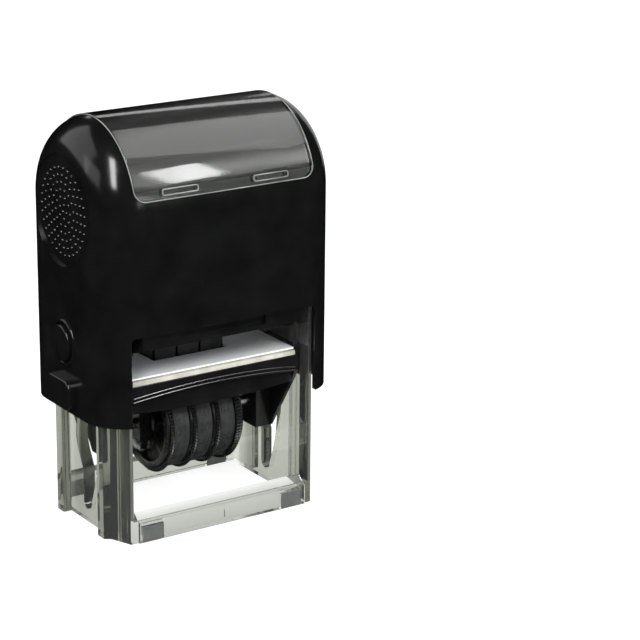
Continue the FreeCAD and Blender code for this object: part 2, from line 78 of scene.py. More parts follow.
# %% A function for moulded finishes
def add_noise(tree, size, detail, seed):
    """Noise that repeats about every `size` metres, in the object's own coordinates."""
    place = tree.nodes.new("ShaderNodeTexCoord")
    shift = tree.nodes.new("ShaderNodeMapping")
    shift.inputs["Location"].default_value = (seed, seed * 0.37, seed * 0.73)
    noise = tree.nodes.new("ShaderNodeTexNoise")
    noise.inputs["Scale"].default_value = 1.0 / size
    noise.inputs["Detail"].default_value = detail
    tree.links.new(place.outputs["Object"], shift.inputs["Vector"])
    tree.links.new(shift.outputs["Vector"], noise.inputs["Vector"])
    return noise.outputs["Fac"]


def spread(tree, value, low, high):
    """Maps noise, which mostly lies between 0.3 and 0.7, onto a range."""
    ramp = tree.nodes.new("ShaderNodeMapRange")
    ramp.inputs["From Min"].default_value = 0.3
    ramp.inputs["From Max"].default_value = 0.7
    ramp.inputs["To Min"].default_value = low
    ramp.inputs["To Max"].default_value = high
    tree.links.new(value, ramp.inputs["Value"])
    return ramp.outputs["Result"]


def moulded(name, dark, light, rough, grain, lift, drift=9 * mm, **fixed):
    """Finish whose colour drifts between two tones and whose roughness drifts between two values."""
    material = bpy.data.materials.new(name)
    material.use_nodes = True
    tree = material.node_tree
    shader = tree.nodes["Principled BSDF"]
    mix = tree.nodes.new("ShaderNodeMix")
    mix.data_type = "RGBA"
    mix.inputs["A"].default_value = (*dark, 1)
    mix.inputs["B"].default_value = (*light, 1)
    tree.links.new(spread(tree, add_noise(tree, drift, 4, 1.3), 0, 1), mix.inputs["Factor"])
    tree.links.new(mix.outputs["Result"], shader.inputs["Base Color"])
    tree.links.new(spread(tree, add_noise(tree, drift * 0.6, 5, 4.1), *rough), shader.inputs["Roughness"])
    bump = tree.nodes.new("ShaderNodeBump")
    bump.inputs["Distance"].default_value = lift
    bump.inputs["Strength"].default_value = 1.0
    tree.links.new(add_noise(tree, grain, 3, 7.7), bump.inputs["Height"])
    tree.links.new(bump.outputs["Normal"], shader.inputs["Normal"])
    for socket, value in fixed.items():
        shader.inputs[socket.replace("_", " ")].default_value = value
    material.diffuse_color = (*light, 1)
    print("finish", name)
    return material


# %% [markdown]
# The casing is black ABS with a soft gloss: deep black where it faces the dark room, broad clean
# highlights over the shoulders.  The inner mouldings and the wheels are the same plastic, each with
# its own face.  The grip studs and the beads are too small to mirror a whole panel, so they get a
# higher index, which makes their thin lines of light as strong as those of a polished mould.

# %% Black plastics
black_casing = moulded("black_casing", (0.003, 0.003, 0.0032), (0.0055, 0.0056, 0.0056), (0.13, 0.2),
                       0.3 * mm, 0.0006 * mm, IOR=1.5)
black_inner = moulded("black_inner", (0.004, 0.004, 0.004), (0.008, 0.008, 0.0082), (0.16, 0.26),
                      0.3 * mm, 0.0015 * mm, IOR=1.5)
stud_black = moulded("stud_black", (0.004, 0.004, 0.004), (0.007, 0.007, 0.007), (0.1, 0.16),
                     0.3 * mm, 0.0005 * mm, IOR=2.1)
polished_black = moulded("polished_black", (0.005, 0.005, 0.005), (0.009, 0.009, 0.009), (0.14, 0.2),
                         0.3 * mm, 0.0005 * mm, IOR=2.1)
wheel_black = moulded("wheel_black", (0.004, 0.004, 0.0042), (0.009, 0.009, 0.009), (0.22, 0.34),
                      0.3 * mm, 0.0015 * mm, IOR=1.55)

# %% [markdown]
# The belts are cured rubber: dark grey, chalky, with a dusty bloom and a rough skin.  The feet are a
# lighter grey rubber that picks up specks of dirt.  The plate is a pale grey moulding, and its edge
# strip a warmer tone.

# %% Rubber, plate and strip
band_rubber = moulded("band_rubber", (0.015, 0.0155, 0.016), (0.03, 0.031, 0.032), (0.55, 0.72),
                      0.22 * mm, 0.012 * mm, drift=2.5 * mm)
foot_rubber = moulded("foot_rubber", (0.09, 0.1, 0.105), (0.17, 0.19, 0.2), (0.6, 0.8),
                      0.25 * mm, 0.015 * mm, drift=1.6 * mm)
plate_pale = moulded("plate_pale", (0.86, 0.88, 0.88), (0.93, 0.95, 0.94), (0.4, 0.55),
                     0.25 * mm, 0.004 * mm, drift=6 * mm)
strip_cream = moulded("strip_cream", (0.36, 0.35, 0.3), (0.56, 0.55, 0.48), (0.2, 0.34),
                      0.4 * mm, 0.004 * mm, drift=5 * mm)

# %% [markdown]
# Ink felt is fibrous and drinks in the light, so it has no gloss at all, only a little sheen at
# grazing angles.  The wire and the pins are drawn steel.

# %% Felt and steel
ink_felt = moulded("ink_felt", (0.004, 0.004, 0.012), (0.012, 0.012, 0.03), (0.85, 1.0),
                   0.18 * mm, 0.05 * mm, drift=3 * mm, Sheen_Weight=0.25)
steel = moulded("steel", (0.42, 0.42, 0.43), (0.6, 0.6, 0.61), (0.2, 0.34),
                0.12 * mm, 0.002 * mm, drift=4 * mm, Metallic=1.0)

# %% [markdown]
# Clear plastic is glass as far as a renderer is concerned: light passes through it and bends.  The
# smoky green-grey comes from absorption in its depth, so thick edges are darker than thin walls, as
# they are in the real moulding.  Very slow waves in the surface stand in for the flow of the melt, so
# that lines seen through it are never perfectly straight.

# %% Clear plastics
plastic_ior = 1.5


def clear(name, haze, rough, wave, lift, smoke, density):
    """Glass-like plastic.  `haze` is its milky share; `smoke` and `density` darken long paths in it."""
    material = bpy.data.materials.new(name)
    material.use_nodes = True
    tree = material.node_tree
    shader = tree.nodes["Principled BSDF"]
    shader.inputs["Base Color"].default_value = (0.95, 0.96, 0.94, 1)
    shader.inputs["Transmission Weight"].default_value = 1.0 - haze
    shader.inputs["IOR"].default_value = plastic_ior
    tree.links.new(spread(tree, add_noise(tree, wave, 3, 2.2), *rough), shader.inputs["Roughness"])
    bump = tree.nodes.new("ShaderNodeBump")
    bump.inputs["Distance"].default_value = lift
    tree.links.new(add_noise(tree, wave, 2, 5.5), bump.inputs["Height"])
    tree.links.new(bump.outputs["Normal"], shader.inputs["Normal"])
    absorb = tree.nodes.new("ShaderNodeVolumeAbsorption")
    absorb.inputs["Color"].default_value = (*smoke, 1)
    absorb.inputs["Density"].default_value = density
    tree.links.new(absorb.outputs["Volume"], tree.nodes["Material Output"].inputs["Volume"])
    material.diffuse_color = (*smoke, 0.35)
    print("finish", name)
    return material


clear_base = clear("clear_base", 0.03, (0.0, 0.03), 7 * mm, 0.02 * mm, (0.33, 0.36, 0.28), 260.0)
clear_window = clear("clear_window", 0.0, (0.07, 0.12), 12 * mm, 0.01 * mm, (0.4, 0.42, 0.38), 120.0)

# %% [markdown]
# Most mouldings keep the shape they have in the frame, so they only take a finish, through the
# material slot that their mesh already has.

# %% Finish the frame's own pieces
finish_of = {
    "casing": black_casing, "pivot_cover_left": black_casing, "pivot_cover_right": black_casing,
    "lock_button_left": black_casing, "lock_button_right": black_casing,
    "clear_base": clear_base,
    "pad_carrier": black_inner, "ink_tray": black_inner, "head_frame": black_inner,
    "head_bracket_left": black_inner, "head_bracket_right": black_inner,
    "band_bridge": black_inner, "axle_hanger": black_inner,
    "wheel_axle": steel, "pivot_pin_left": steel, "pivot_pin_right": steel,
    "text_plate": plate_pale, "plate_strip": strip_cream,
}
for name, material in finish_of.items():
    nodes[name].material_slots[0].material = material
print("finished", len(finish_of), "of", len(nodes))

# %% [markdown]
# Five small tools for the pieces to come.  `keep` turns a bmesh into a piece that rides on a body.
# `block` is a box whose edges are really rounded, since light catches on a rounded edge and never on
# a sharp one.  `add_to` puts one mesh into another.  `join_rings` makes a skin over a row of equal
# rings, which is how tubes, belts and coils are made.  `turned` spins a profile about a line along X,
# as a lathe would.

# %% Tools for building pieces
def keep(name, mesh_data, material, body, stands_for=(), sharp=35):
    """Stores a bmesh as a piece, smooth except where faces meet at more than `sharp` degrees."""
    mesh = bpy.data.meshes.new(name)
    bmesh.ops.recalc_face_normals(mesh_data, faces=mesh_data.faces)
    mesh_data.to_mesh(mesh)
    mesh_data.free()
    for face in mesh.polygons:
        face.use_smooth = True
    mesh.set_sharp_from_angle(angle=math.radians(sharp))
    piece = bpy.data.objects.new(name, mesh)
    bpy.context.scene.collection.objects.link(piece)
    mesh.materials.append(material)
    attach(piece, body)
    if stands_for:
        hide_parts(*stands_for)
    print("piece", name, "faces", len(mesh.polygons))
    return piece


def block(mesh_data, low, high, rounding):
    """Adds a box between two corners, with its edges rounded."""
    centre = (Vector(low) + Vector(high)) / 2
    size = Vector(high) - Vector(low)
    place = Matrix.Translation(centre) @ Matrix.Diagonal((*size, 1))
    made = bmesh.ops.create_cube(mesh_data, size=1.0, matrix=place)
    if rounding > 0:
        edges = list({edge for vert in made["verts"] for edge in vert.link_edges})
        bmesh.ops.bevel(mesh_data, geom=edges, offset=rounding, segments=3, profile=0.5,
                        affect="EDGES")


def add_to(mesh_data, part):
    """Adds one bmesh to another, and frees it."""
    scrap = bpy.data.meshes.new("part")
    part.to_mesh(scrap)
    part.free()
    mesh_data.from_mesh(scrap)
    bpy.data.meshes.remove(scrap)


def join_rings(mesh_data, rings, closed):
    """Skin over a row of equal rings.  A closed row meets itself, and an open one gets end caps."""
    pairs = list(zip(rings, rings[1:]))
    if closed:
        pairs.append((rings[-1], rings[0]))
    for here, there in pairs:
        for k in range(len(here)):
            nxt = (k + 1) % len(here)
            mesh_data.faces.new((here[k], here[nxt], there[nxt], there[k]))
    if not closed:
        mesh_data.faces.new(rings[0])
        mesh_data.faces.new(rings[-1])


def turned(mesh_data, profile, centre_z, steps=96, radius_at=None):
    """Spins (x, radius) points about the line y = 0, z = centre_z.  The profile closes on itself.

    radius_at(radius, step) may change the radius round the turn, for teeth.
    """
    rings = []
    for step in range(steps):
        angle = 2 * math.pi * step / steps
        ring = []
        for x, radius in profile:
            reach = radius_at(radius, step) if radius_at else radius
            place = (x, reach * math.sin(angle), centre_z + reach * math.cos(angle))
            ring.append(mesh_data.verts.new(place))
        rings.append(ring)
    join_rings(mesh_data, rings, True)


# %% [markdown]
# The finger grips are fields of tiny domes on the flat recess at each end.  They sit on rings about
# the middle of the recess.  Each is a small ball, a little flattened and sunk to half its depth: at
# this size a coarse ball already looks round, and a bright finish gives each one its glint.

# %% Grip studs
grip_z = dome_z - 1.35 * mm
grip_face = half_w - 0.7 * mm
stud_r = 0.5 * mm
stud_flatness = 0.75
stud_pitch = 2.35 * mm
ring_pitch = 1.95 * mm
ring_count = 6


def stud_places():
    """Middles of the studs, on rings that are turned half a step against each other."""
    places = [(0.0, 0.0)]
    for ring in range(1, ring_count + 1):
        radius = ring * ring_pitch
        amount = round(2 * math.pi * radius / stud_pitch)
        for step in range(amount):
            angle = 2 * math.pi * (step + 0.5 * (ring % 2)) / amount
            places.append((radius * math.cos(angle), radius * math.sin(angle)))
    return places


for side, side_name in ((-1, "left"), (1, "right")):
    studs = bmesh.new()
    for y, z in stud_places():
        flatten = Matrix.Diagonal((stud_flatness, 1, 1, 1))
        place = Matrix.Translation((side * grip_face, y, grip_z + z)) @ flatten
        bmesh.ops.create_icosphere(studs, subdivisions=2, radius=stud_r, matrix=place)
    keep("grip_studs_" + side_name, studs, stud_black, "casing", sharp=180)

# %% [markdown]
# The date wheels are what fingers turn, so their rims are cut into fine teeth.  A rim is spun from
# its section: a smooth flange on the left, then a row of teeth where the radius steps up and down
# with the turn.  A boolean could cut the teeth as well, but a spun rim stays clean and light.

# %% Teeth and rims
tooth_count = 92
steps_per_tooth = 4
tooth_depth = 0.62 * mm
flange_drop = 1.15 * mm


def toothed(rim_radius):
    """Radius of the tooth crest, or of the valley beside it, at each step of the turn."""
    fall = (0, tooth_depth * 0.5, tooth_depth, tooth_depth * 0.5)

    def radius_at(radius, step):
        if radius < rim_radius - 0.01 * mm:
            return radius
        return radius - fall[step % steps_per_tooth]
    return radius_at


def rim(mesh_data, x0, x1, outer, inner, centre_z):
    """Flange with a rounded lip from x0, and a row of teeth up to x1."""
    lip = outer - flange_drop
    step_x = x0 + (x1 - x0) * 0.46
    flange = [(x0 + 0.25 * mm, inner), (x0, inner + 0.25 * mm), (x0, lip - 0.35 * mm),
              (x0 + 0.12 * mm, lip - 0.1 * mm), (x0 + 0.35 * mm, lip), (step_x, lip), (step_x, inner)]
    turned(mesh_data, flange, centre_z)
    crest = 0.3 * mm
    root = outer - tooth_depth - 0.15 * mm
    teeth = [(step_x, inner), (step_x, root), (step_x + crest, outer), (x1 - crest, outer),
             (x1, root), (x1, inner)]
    turned(mesh_data, teeth, centre_z, tooth_count * steps_per_tooth, toothed(outer))


# %% [markdown]
# The first wheel shows its open side: a rounded lip, a dished web, spokes and a hub.  All of these
# are spun, except the spokes, which are rounded bars copied round the hub.

# %% Date wheels
spoke_count = 6
spoke_half = 0.6 * mm
rim_w = 1.9 * mm
hub_r = 4.2 * mm
bore_r = 1.6 * mm
rim_height = 1.9 * mm
drum_wall = 1.4 * mm


def make_wheel(number):
    """One wheel; the last one has a rim on its right as well."""
    node = "date_wheel_" + str(number)
    low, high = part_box(node)
    centre_z = (low.z + high.z) / 2
    outer = (high.z - low.z) / 2
    drum_r = outer - rim_height
    web_r = drum_r - drum_wall
    wheel = bmesh.new()
    rim(wheel, low.x, low.x + rim_w, outer, web_r, centre_z)
    if number == 3:
        rim(wheel, high.x, high.x - rim_w, outer, web_r, centre_z)
    drum = [(low.x + rim_w, web_r), (low.x + rim_w, drum_r), (high.x - 0.3 * mm, drum_r),
            (high.x - 0.3 * mm, web_r)]
    turned(wheel, drum, centre_z)
    web = [(low.x + 3.0 * mm, hub_r - 1 * mm), (low.x + 2.2 * mm, web_r), (high.x - 0.6 * mm, web_r),
           (high.x - 0.6 * mm, hub_r - 1 * mm)]
    turned(wheel, web, centre_z)
    hub = [(low.x + 0.5 * mm, bore_r), (low.x + 0.5 * mm, hub_r - 0.4 * mm), (low.x + 0.9 * mm, hub_r),
           (high.x - 0.4 * mm, hub_r), (high.x - 0.4 * mm, bore_r)]
    turned(wheel, hub, centre_z, 48)
    for spoke in range(spoke_count):
        turn = Matrix.Rotation(2 * math.pi * (spoke + 0.3) / spoke_count, 4, "X")
        bar = bmesh.new()
        block(bar, (low.x + 1.2 * mm, -spoke_half, hub_r - 0.5 * mm),
              (low.x + 3.2 * mm, spoke_half, web_r + 0.2 * mm), 0.2 * mm)
        bmesh.ops.transform(bar, matrix=Matrix.Translation((0, 0, centre_z)) @ turn, verts=bar.verts)
        add_to(wheel, bar)
    keep("wheel_" + str(number) + "_detail", wheel, wheel_black, "wheel_" + str(number),
         [node], sharp=28)


for number in (1, 2, 3):
    make_wheel(number)

# %% [markdown]
# The belts run round a drum at the bottom and over the narrow bridge at the top.  The path is the
# same for all three: an arc round the drum, straight flanks, and a flat run over the bridge.  It is
# worked out as a list of points and outward directions, and the belt's section is carried along it.

# %% Path of a belt
wheel_low, wheel_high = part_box("date_wheel_1")
wheel_z = (wheel_low.z + wheel_high.z) / 2
band_low, band_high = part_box("date_band_1")
band_r = wheel_z - band_low.z
belt_thick = 0.8 * mm
belt_corner = 1.5 * mm
bridge_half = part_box("band_bridge")[1].y + 0.1 * mm + belt_thick
neck_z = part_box("band_bridge")[0].z + 0.6 * mm
print("belt radius on the drum mm", round(band_r / mm, 2))


def belt_path(spacing):
    """Points (y, z) with outward directions, all the way round the belt's outer face."""
    away = math.hypot(bridge_half, neck_z - wheel_z)
    lean = math.atan2(neck_z - wheel_z, bridge_half) - math.acos(band_r / away)
    corner = belt_corner
    top = band_high.z
    path = []

    def arc(centre_y, centre_z, radius, start, stop):
        amount = max(3, round(abs(stop - start) * radius / spacing))
        for step in range(amount + 1):
            angle = start + (stop - start) * step / amount
            y = centre_y + radius * math.cos(angle)
            path.append((y, centre_z + radius * math.sin(angle), angle))

    def flank(side, heights):
        path.extend((side * bridge_half, z, math.pi if side < 0 else 0.0) for z in heights)

    arc(0, wheel_z, band_r, lean, -math.pi - lean)
    heights = [neck_z + (top - corner - neck_z) * step / 12 for step in range(12)]
    flank(-1, heights)
    arc(-bridge_half + corner, top - corner, corner, math.pi, math.pi / 2)
    arc(bridge_half - corner, top - corner, corner, math.pi / 2, 0)
    flank(1, heights[::-1])
    return path


def along_path(path):
    """Adds up the path's length; returns the points with their distance, and the whole length."""
    rows = []
    total = 0.0
    for k, (y, z, angle) in enumerate(path):
        if k:
            total += math.hypot(y - path[k - 1][0], z - path[k - 1][1])
        rows.append((total, y, z, angle))
    closing = math.hypot(path[0][0] - path[-1][0], path[0][1] - path[-1][1])
    return rows, total + closing


belt_rows, belt_length = along_path(belt_path(0.5 * mm))
print("belt length mm", round(belt_length / mm, 1), "points", len(belt_rows))

# %% [markdown]
# Every belt carries raised figures, in mirror writing so that they print the right way round.  A
# figure is a flat text outline given thickness, then wrapped round the path: its height runs along
# the belt and its width across it.  Plain numbers are all that a date needs.

# %% Belts with raised numbers
figure_stand = 0.16 * mm
figure_height = 2.9 * mm
figure_share = 0.86


def on_path(distance, across, stand):
    """Point on the belt at a distance along it, standing off its skin."""
    distance %= belt_length
    for k, (at, y, z, angle) in enumerate(belt_rows):
        after = belt_rows[k + 1] if k + 1 < len(belt_rows) else (belt_length, *belt_rows[0][1:])
        if at <= distance <= after[0]:
            share = (distance - at) / max(after[0] - at, 1e-9)
            turn = (after[3] - angle + math.pi) % (2 * math.pi) - math.pi
            facing = angle + turn * share
            y = y + (after[1] - y) * share + stand * math.cos(facing)
            z = z + (after[2] - z) * share + stand * math.sin(facing)
            return Vector((across, y, z))
    return Vector((across, belt_rows[0][1], belt_rows[0][2]))


def figure_mesh(text, height, width):
    """Solid text, centred, with its letters mirrored across X."""
    curve = bpy.data.curves.new("figure", "FONT")
    curve.body = text
    curve.size = height * 1.35
    curve.align_x = "CENTER"
    curve.align_y = "CENTER"
    curve.resolution_u = 2
    curve.extrude = figure_stand
    maker = bpy.data.objects.new("figure", curve)
    bpy.context.scene.collection.objects.link(maker)
    bpy.context.view_layer.update()
    solid = bpy.data.meshes.new_from_object(maker)
    bpy.data.objects.remove(maker)
    wide = max(vert.co.x for vert in solid.vertices) - min(vert.co.x for vert in solid.vertices)
    squeeze = min(1.0, width / wide)
    for vert in solid.vertices:
        vert.co.x = -vert.co.x * squeeze
    return solid


# %% [markdown]
# The belts widen where they come up through the plate, so that the figures stand close together and
# the slot in the plate looks filled.  The section is carried along the path, and its width grows with
# height over a short stretch.

# %% Make the belts
widening = 0.36
widen_from = wheel_z + 14.0 * mm
widen_over = 2.0 * mm


def make_band(number, texts):
    """One belt with its figures spaced evenly along it, the first on top of the bridge."""
    low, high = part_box("date_band_" + str(number))
    belt = bmesh.new()
    skin = figure_stand
    thick = belt_thick - figure_stand
    edge = 0.12 * mm
    middle = (low.x + high.x) / 2
    half = (high.x - low.x) / 2
    section = [(-half, -skin - thick), (-half, -skin - edge), (edge - half, -skin),
               (half - edge, -skin), (half, -skin - edge), (half, -skin - thick)]
    rings = []
    for _, y, z, angle in belt_rows:
        out_y, out_z = math.cos(angle), math.sin(angle)
        wide = 1 + widening * min(1.0, max(0.0, (z - widen_from) / widen_over))
        rings.append([belt.verts.new((middle + x * wide, y + stand * out_y, z + stand * out_z))
                      for x, stand in section])
    join_rings(belt, rings, True)
    pitch = belt_length / len(texts)
    top_starts = next(at for at, y, z, angle in belt_rows if z > band_high.z - 0.01 * mm)
    top_at = top_starts + bridge_half - belt_corner
    for k, text in enumerate(texts):
        solid = figure_mesh(text, figure_height, (high.x - low.x) * figure_share)
        start = top_at + pitch * k
        for vert in solid.vertices:
            vert.co = on_path(start - vert.co.y, middle + vert.co.x, min(vert.co.z, 0) * 1.2)
        belt.from_mesh(solid)
        bpy.data.meshes.remove(solid)
    keep("belt_" + str(number), belt, band_rubber, "head", ["date_band_" + str(number)])


make_band(1, ["%02d" % day for day in range(1, 25)])
make_band(2, ["%02d" % (month % 12 + 1) for month in range(24)])
make_band(3, ["%02d" % year for year in range(20, 44)])

# %% [markdown]
# The return spring is a coil of round wire between the carrier and the dome.  It belongs to the
# casing.

# %% Return spring
spring_low, spring_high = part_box("return_spring")
wire_r = 0.6 * mm
coil_r = spring_high.x - wire_r
coil_turns = 9.0
closed_turns = 0.9
steps_per_turn = 28
wire_sides = 10


def coil_point(turn):
    """Middle of the wire after `turn` turns.  The end turns lie closed up, as a ground spring's do."""
    wire_d = 2 * wire_r
    open_turns = coil_turns - 2 * closed_turns
    open_pitch = (spring_high.z - spring_low.z - wire_d - 2 * closed_turns * wire_d) / open_turns
    first = min(turn, closed_turns)
    middle = max(0, min(turn, coil_turns - closed_turns) - closed_turns)
    last = max(0, turn - coil_turns + closed_turns)
    z = spring_low.z + wire_r + (first + last) * wire_d + middle * open_pitch
    angle = 2 * math.pi * turn
    return Vector((coil_r * math.cos(angle), coil_r * math.sin(angle), z))


spring = bmesh.new()
rings = []
for step in range(int(coil_turns * steps_per_turn) + 1):
    point = coil_point(step / steps_per_turn)
    outward = Vector((point.x, point.y, 0)).normalized()
    ring = []
    for k in range(wire_sides):
        angle = 2 * math.pi * k / wire_sides
        offset = math.cos(angle) * outward + math.sin(angle) * Vector((0, 0, 1))
        ring.append(spring.verts.new(point + wire_r * offset))
    rings.append(ring)
join_rings(spring, rings, False)
coil = keep("spring_coil", spring, steel, "casing", ["return_spring"], sharp=60)
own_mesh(coil)

# %% [markdown]
# The ink pad is felt, charged with ink and held in its tray.  Pressed felt keeps a crown: the face is
# lowest along its middle, where the belts touch it, and rises towards the edges.

# %% Ink pad
pad_low, pad_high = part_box("ink_pad")
pad_crown = 2.75 * mm
pad_flat = 0.3
pad_side_power = 1.25
pad_end_power = 14
pad_cells = (36, 32)


def pad_drop(u, v):
    """How far the felt's face hangs below its rim at (u, v), each from -1 to 1."""
    side = max(0.0, abs(v) - pad_flat) / (1 - pad_flat)
    return pad_crown * (1 - side ** pad_side_power) * (1 - abs(u) ** pad_end_power)


pad = bmesh.new()
grid = [[None] * (pad_cells[1] + 1) for _ in range(pad_cells[0] + 1)]
roof = [[None] * (pad_cells[1] + 1) for _ in range(pad_cells[0] + 1)]
for i in range(pad_cells[0] + 1):
    for j in range(pad_cells[1] + 1):
        u = 2 * i / pad_cells[0] - 1
        v = 2 * j / pad_cells[1] - 1
        x, y = u * pad_high.x, v * pad_high.y
        grid[i][j] = pad.verts.new((x, y, pad_low.z + pad_crown - pad_drop(u, v)))
        roof[i][j] = pad.verts.new((x, y, pad_high.z))
for i in range(pad_cells[0]):
    for j in range(pad_cells[1]):
        pad.faces.new((grid[i][j], grid[i][j + 1], grid[i + 1][j + 1], grid[i + 1][j]))
        pad.faces.new((roof[i][j], roof[i + 1][j], roof[i + 1][j + 1], roof[i][j + 1]))
for i in range(pad_cells[0]):
    for j in (0, pad_cells[1]):
        pad.faces.new((grid[i][j], grid[i + 1][j], roof[i + 1][j], roof[i][j]))
for j in range(pad_cells[1]):
    for i in (0, pad_cells[0]):
        pad.faces.new((grid[i][j], grid[i][j + 1], roof[i][j + 1], roof[i][j]))
felt = keep("felt_pad", pad, ink_felt, "cartridge", ["ink_pad"], sharp=40)

# %% [markdown]
# The feet are soft grey rubber blocks pressed into pockets at the ends of the two bars, seen through
# the clear wall in front of them.  They are modelled a hair smaller than their pockets, as a face
# that lies exactly on another would flicker.  Small raised dots are the marks of the moulding pins.

# %% Rubber feet
foot_clear = 0.08 * mm
dot_r = 0.55 * mm
dot_flatness = 0.12
dot_sink = 0.02 * mm


def make_foot(node, outward):
    """One foot, with its dots on the side that faces outward (-1 to the front, 1 to the back)."""
    low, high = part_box(node)
    inset = Vector((foot_clear, foot_clear, 0))
    foot = bmesh.new()
    block(foot, low + inset, high - inset - Vector((0, 0, foot_clear)), 0.25 * mm)
    face_y = (high.y if outward > 0 else low.y) - outward * foot_clear
    for share_x, share_z in ((0.26, 0.3), (0.74, 0.3), (0.5, 0.68)):
        x = low.x + (high.x - low.x) * share_x
        z = low.z + (high.z - low.z) * share_z
        flatten = Matrix.Diagonal((1, dot_flatness, 1, 1))
        place = Matrix.Translation((x, face_y - outward * dot_sink, z)) @ flatten
        bmesh.ops.create_icosphere(foot, subdivisions=2, radius=dot_r, matrix=place)
    keep(node.replace("foot_", "rubber_foot_"), foot, foot_rubber, "frame", [node])


for side in ("left", "right"):
    make_foot("foot_front_" + side, -1)
    make_foot("foot_back_" + side, 1)

# %% [markdown]
# The clear window on the dome is a separate moulding with a rounded edge, and two narrow slots near
# each lower edge for a fingernail.  It is easiest to model flat: an outline with rounded corners,
# given thickness and bevelled, and bent at the very end.  Its lower side is sunk into the casing, so
# that no air gap under it mirrors the light a second time.

# %% Flat outline of the window
window_low, window_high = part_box("index_window")
window_half = window_high.x
window_thick = 1.4 * mm
window_r = window_high.z - dome_z
window_start = math.asin((window_low.z - dome_z) / dome_r)
window_reach = dome_r * (math.pi / 2 - window_start)
window_corner = 3.5 * mm
edge_round = 0.45 * mm


def rounded_outline(half_x, half_y, corner, steps=10):
    """Flat outline of a plate with four round corners."""
    points = []
    for quarter, (sx, sy) in enumerate(((1, 1), (-1, 1), (-1, -1), (1, -1))):
        for step in range(steps + 1):
            angle = math.pi / 2 * (quarter + step / steps)
            points.append((sx * (half_x - corner) + corner * math.cos(angle),
                           sy * (half_y - corner) + corner * math.sin(angle)))
    return points


def flat_slab(half_x, half_y, corner, low, high, steps=10):
    """Plate with round corners between two heights."""
    slab = bmesh.new()
    ring = [slab.verts.new((x, y, low)) for x, y in rounded_outline(half_x, half_y, corner, steps)]
    base = slab.faces.new(ring)
    made = bmesh.ops.extrude_face_region(slab, geom=[base])
    raised = [item for item in made["geom"] if isinstance(item, bmesh.types.BMVert)]
    bmesh.ops.translate(slab, vec=(0, 0, high - low), verts=raised)
    bmesh.ops.recalc_face_normals(slab, faces=slab.faces)
    return slab


# %% [markdown]
# The slots are cut by a boolean, which is exact on flat shapes.  After that the plate is sliced across
# every 0.8 mm and wrapped: a vertex's distance along the plate becomes an angle about the dome's axis.

# %% Window with a rounded edge and slots
slot_half = 5.15 * mm
slot_high = 0.6 * mm
slot_corner = 0.57 * mm
slot_depth = 0.62 * mm
slot_from_middle = 13.8 * mm
slot_height = 95.9 * mm
slice_step = 0.8 * mm
slot_angle = math.asin((slot_height - dome_z) / dome_r)
slot_at = dome_r * (math.pi / 2 - slot_angle)

pane_mesh = flat_slab(window_half, window_reach, window_corner, -window_thick, 0.0)
top_edges = [edge for edge in pane_mesh.edges if all(vert.co.z > -0.01 * mm for vert in edge.verts)]
bmesh.ops.bevel(pane_mesh, geom=top_edges, offset=edge_round, segments=4, profile=0.5, affect="EDGES")
flat = bpy.data.meshes.new("window_flat")
pane_mesh.to_mesh(flat)
pane_mesh.free()
cutter_mesh = bmesh.new()
for side in (-1, 1):
    for end in (-1, 1):
        slot_slab = flat_slab(slot_half, slot_high, slot_corner, -slot_depth, 1 * mm, 4)
        bmesh.ops.translate(slot_slab, vec=(side * slot_from_middle, end * slot_at, 0),
                            verts=slot_slab.verts)
        add_to(cutter_mesh, slot_slab)
slots = bpy.data.meshes.new("window_slots")
cutter_mesh.to_mesh(slots)
cutter_mesh.free()
flat_piece = bpy.data.objects.new("window_flat", flat)
slot_piece = bpy.data.objects.new("window_slots", slots)
for piece in (flat_piece, slot_piece):
    bpy.context.scene.collection.objects.link(piece)
cut = flat_piece.modifiers.new("cut", "BOOLEAN")
cut.object = slot_piece
cut.solver = "EXACT"
bpy.context.view_layer.update()
evaluated = flat_piece.evaluated_get(bpy.context.evaluated_depsgraph_get())
cut_mesh = bpy.data.meshes.new_from_object(evaluated)
bpy.data.objects.remove(flat_piece)
bpy.data.objects.remove(slot_piece)
window_mesh = bmesh.new()
window_mesh.from_mesh(cut_mesh)
slice_at = -window_reach + slice_step
while slice_at < window_reach:
    everything = window_mesh.verts[:] + window_mesh.edges[:] + window_mesh.faces[:]
    bmesh.ops.bisect_plane(window_mesh, geom=everything, plane_co=(0, slice_at, 0), plane_no=(0, 1, 0))
    slice_at += slice_step
for vert in window_mesh.verts:
    angle = vert.co.y / dome_r
    reach = window_r + vert.co.z
    vert.co.y = reach * math.sin(angle)
    vert.co.z = dome_z + reach * math.cos(angle)
keep("dome_window", window_mesh, clear_window, "casing", ["index_window"], sharp=40)

# %% [markdown]
# A moulded lip runs round the window and round each of its slots.  Each lip is a thin tube, led along
# the same flat outline and then wrapped round the dome.  Clear plastic pipes light to its edges, and the
# lips' pale grey colour is a painted highlight that stands in for this light.

# %% Lips of the window
lip_r = 0.16 * mm
lip_inset = 0.12 * mm
lip_sides = 8


def add_lip(mesh_data, outline, shift, lift):
    """Tube along a closed flat outline, moved by `shift` along the dome and raised by `lift`."""
    rings = []
    count = len(outline)
    for k, (x, y) in enumerate(outline):
        before, after = outline[k - 1], outline[(k + 1) % count]
        along = Vector((after[0] - before[0], after[1] - before[1])).normalized()
        ring = []
        for side_step in range(lip_sides):
            turn = 2 * math.pi * side_step / lip_sides
            flat_x = x + lip_r * math.cos(turn) * along.y + shift[0]
            flat_y = y - lip_r * math.cos(turn) * along.x + shift[1]
            reach = window_r + lift + lip_r * math.sin(turn)
            angle = flat_y / dome_r
            place = (flat_x, reach * math.sin(angle), dome_z + reach * math.cos(angle))
            ring.append(mesh_data.verts.new(place))
        rings.append(ring)
    join_rings(mesh_data, rings, True)


